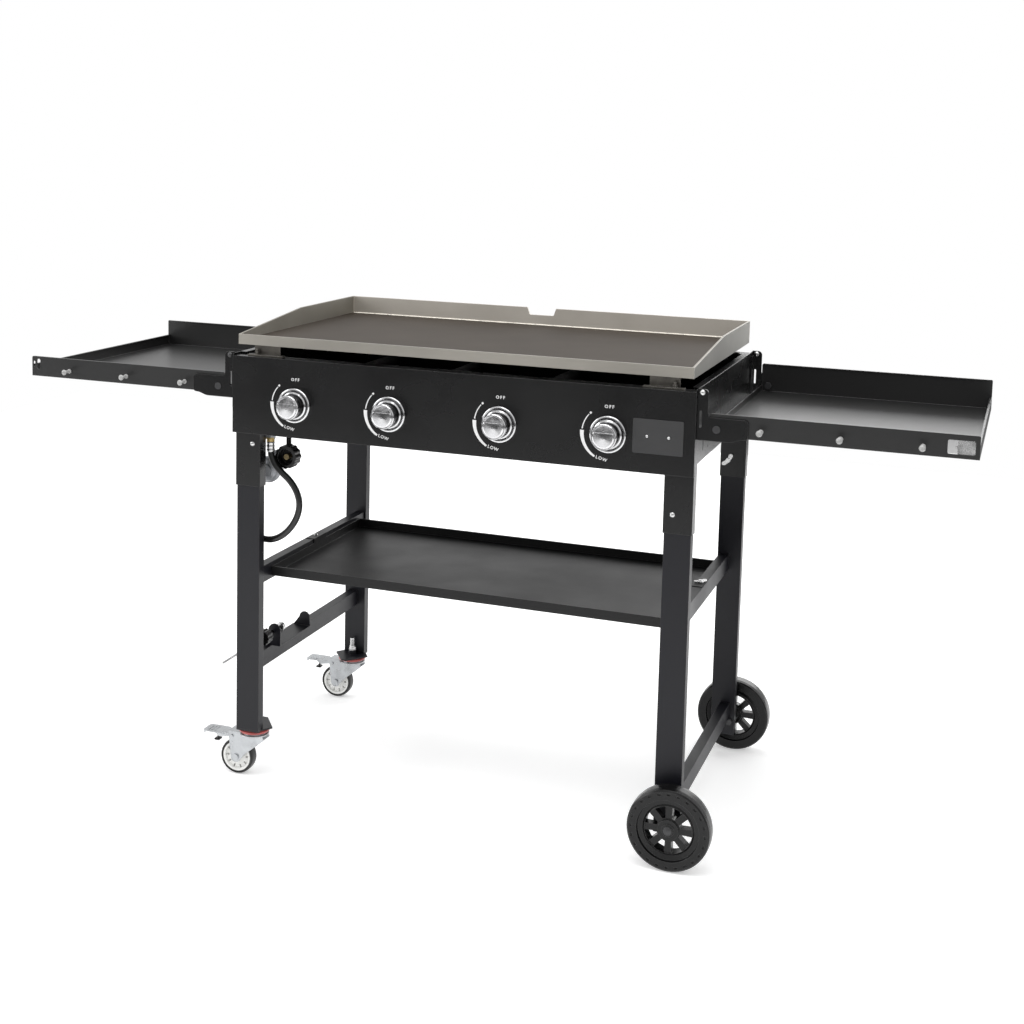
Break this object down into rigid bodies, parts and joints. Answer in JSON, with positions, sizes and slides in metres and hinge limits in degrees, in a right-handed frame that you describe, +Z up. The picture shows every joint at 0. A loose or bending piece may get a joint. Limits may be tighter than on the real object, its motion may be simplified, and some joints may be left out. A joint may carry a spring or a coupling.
{
  "type": "gas griddle cart",
  "caption": "Flat-top gas griddle on a wheeled cart with folding side shelves, burner knobs, a lower shelf and a gas bottle mount.",
  "frame": {"origin": "centre of the footprint, on the floor", "axes": "+X to the right along the control panel, +Y from the control panel to the back, +Z up"},
  "size_m": [1.89, 0.6442, 0.944],
  "materials": {
    "black_powder_coat": "semi-gloss black powder coat",
    "griddle_steel": "bare rolled steel plate, satin",
    "galvanized": "bare or galvanized sheet",
    "bolt_steel": "nickel-plated fasteners",
    "brass": "cast gas fittings",
    "chrome": "bright chrome",
    "ceramic": "glazed white",
    "black_plastic": "moulded black plastic",
    "black_rubber": "smooth black hose rubber",
    "tyre_black": "solid tread",
    "grey_alloy": "cast grey alloy",
    "zinc": "bright zinc plate",
    "white_plastic": "white moulding",
    "red_plastic": "red moulding"
  },
  "bodies": {
    "cart": {"control_panel": "black_powder_coat", "side_panel_left": "black_powder_coat", "side_panel_right": "black_powder_coat", "rear_panel": "black_powder_coat", "heat_shield": "galvanized", "burners": "galvanized", "gas_manifold": "galvanized", "gas_valves": "brass", "spark_igniters": "ceramic", "bezels": "chrome", "badge_plate": "black_powder_coat", "hinge_brackets": "black_powder_coat", "hinge_pins": "black_powder_coat", "frame_bolts": "bolt_steel", "wing_bolts": "bolt_steel", "legs_left": "black_powder_coat", "legs_right": "black_powder_coat", "leg_sleeves": "black_powder_coat", "lower_shelf": "black_powder_coat", "shelf_rails": "black_powder_coat", "lower_bar_left": "black_powder_coat", "lower_bar_right": "black_powder_coat", "tank_clamp": "black_powder_coat", "tank_hook": "bolt_steel", "wheel_axles": "black_powder_coat", "caster_plates": "black_powder_coat", "caster_stems": "bolt_steel", "dust_rings": "red_plastic", "gas_hose": "black_rubber", "regulator": "grey_alloy", "regulator_strap": "black_powder_coat"},
    "griddle": {"griddle_plate": "griddle_steel", "griddle_feet": "galvanized"},
    "stem_1": {"valve_stem_1": "brass"},
    "knob_1": {"knob_1": "chrome"},
    "stem_2": {"valve_stem_2": "brass"},
    "knob_2": {"knob_2": "chrome"},
    "stem_3": {"valve_stem_3": "brass"},
    "knob_3": {"knob_3": "chrome"},
    "stem_4": {"valve_stem_4": "brass"},
    "knob_4": {"knob_4": "chrome"},
    "shelf_left": {"shelf_left": "black_powder_coat", "shelf_pegs_left": "white_plastic"},
    "shelf_right": {"shelf_right": "black_powder_coat", "shelf_pegs_right": "white_plastic", "bottle_opener": "bolt_steel"},
    "wheel_front": {"wheel_front": "black_plastic"},
    "wheel_rear": {"wheel_rear": "black_plastic"},
    "caster_front": {"fork_front": "zinc"},
    "caster_wheel_front": {"caster_disc_front": "white_plastic", "caster_tread_front": "tyre_black"},
    "pedal_front": {"brake_pedal_front": "zinc"},
    "caster_rear": {"fork_rear": "zinc"},
    "caster_wheel_rear": {"caster_disc_rear": "white_plastic", "caster_tread_rear": "tyre_black"},
    "pedal_rear": {"brake_pedal_rear": "zinc"},
    "grease_cup": {"grease_cup": "galvanized"},
    "clamp_screw": {"clamp_screw": "black_plastic"},
    "clamp_foot": {"clamp_foot": "bolt_steel"},
    "coupling_nut": {"coupling_nut": "black_plastic"}
  },
  "joints": [
    {"name": "burner_turn_1", "type": "hinge", "parent": "cart", "child": "stem_1", "pos_m": [-0.327, -0.2801, 0.787], "axis": [0, -1, 0], "range_deg": [0, 180]},
    {"name": "knob_push_1", "type": "slide", "parent": "stem_1", "child": "knob_1", "axis": [0, 1, 0], "range_m": [0, 0.004], "stiffness_N_per_m": 700, "springref_m": -0.002},
    {"name": "burner_turn_2", "type": "hinge", "parent": "cart", "child": "stem_2", "pos_m": [-0.126, -0.2801, 0.787], "axis": [0, -1, 0], "range_deg": [0, 180]},
    {"name": "knob_push_2", "type": "slide", "parent": "stem_2", "child": "knob_2", "axis": [0, 1, 0], "range_m": [0, 0.004], "stiffness_N_per_m": 700, "springref_m": -0.002},
    {"name": "burner_turn_3", "type": "hinge", "parent": "cart", "child": "stem_3", "pos_m": [0.097, -0.2801, 0.787], "axis": [0, -1, 0], "range_deg": [0, 180]},
    {"name": "knob_push_3", "type": "slide", "parent": "stem_3", "child": "knob_3", "axis": [0, 1, 0], "range_m": [0, 0.004], "stiffness_N_per_m": 700, "springref_m": -0.002},
    {"name": "burner_turn_4", "type": "hinge", "parent": "cart", "child": "stem_4", "pos_m": [0.306, -0.2801, 0.787], "axis": [0, -1, 0], "range_deg": [0, 180]},
    {"name": "knob_push_4", "type": "slide", "parent": "stem_4", "child": "knob_4", "axis": [0, 1, 0], "range_m": [0, 0.004], "stiffness_N_per_m": 700, "springref_m": -0.002},
    {"name": "shelf_fold_left", "type": "hinge", "parent": "cart", "child": "shelf_left", "pos_m": [-0.501, -0.0061, 0.811], "axis": [0, -1, 0], "range_deg": [0, 90]},
    {"name": "shelf_fold_right", "type": "hinge", "parent": "cart", "child": "shelf_right", "pos_m": [0.501, -0.0061, 0.811], "axis": [0, 1, 0], "range_deg": [0, 90]},
    {"name": "wheel_spin_front", "type": "hinge", "parent": "cart", "child": "wheel_front", "pos_m": [0.45, -0.3016, 0.0775], "axis": [0, 1, 0], "continuous": true},
    {"name": "wheel_spin_rear", "type": "hinge", "parent": "cart", "child": "wheel_rear", "pos_m": [0.45, 0.3016, 0.0775], "axis": [0, 1, 0], "continuous": true},
    {"name": "caster_swivel_front", "type": "hinge", "parent": "cart", "child": "caster_front", "pos_m": [-0.4362, -0.2351, 0.095], "axis": [0, 0, 1], "continuous": true},
    {"name": "caster_roll_front", "type": "hinge", "parent": "caster_front", "child": "caster_wheel_front", "pos_m": [-0.47219, -0.23573, 0.0365], "axis": [0.0175, -0.9998, 0], "continuous": true},
    {"name": "brake_pedal_front", "type": "hinge", "parent": "caster_front", "child": "pedal_front", "pos_m": [-0.48119, -0.23589, 0.08], "axis": [0.0175, -0.9998, 0], "range_deg": [0, 14]},
    {"name": "caster_swivel_rear", "type": "hinge", "parent": "cart", "child": "caster_rear", "pos_m": [-0.4362, 0.2351, 0.095], "axis": [0, 0, 1], "continuous": true},
    {"name": "caster_roll_rear", "type": "hinge", "parent": "caster_rear", "child": "caster_wheel_rear", "pos_m": [-0.47219, 0.23447, 0.0365], "axis": [0.0175, -0.9998, 0], "continuous": true},
    {"name": "brake_pedal_rear", "type": "hinge", "parent": "caster_rear", "child": "pedal_rear", "pos_m": [-0.48119, 0.23431, 0.08], "axis": [0.0175, -0.9998, 0], "range_deg": [0, 14]},
    {"name": "griddle_lift", "type": "slide", "parent": "cart", "child": "griddle", "axis": [0, 0, 1], "range_m": [0, 0.15]},
    {"name": "grease_cup_slide", "type": "slide", "parent": "cart", "child": "grease_cup", "axis": [0, 1, 0], "range_m": [0, 0.06]},
    {"name": "clamp_travel", "type": "slide", "parent": "cart", "child": "clamp_foot", "axis": [0, -1, 0], "range_m": [0, 0.00451]},
    {"name": "clamp_screw_turn", "type": "hinge", "parent": "clamp_foot", "child": "clamp_screw", "pos_m": [-0.4282, -0.2111, 0.285], "axis": [0, -1, 0], "range_deg": [0, 1080]},
    {"name": "coupling_nut_spin", "type": "hinge", "parent": "cart", "child": "coupling_nut", "pos_m": [-0.376, -0.2121, 0.668], "axis": [0, -1, 0], "continuous": true}
  ],
  "couplings": [
    {"joint": "clamp_travel", "follows": "clamp_screw_turn", "m_per_rad": 0.000239}
  ]
}
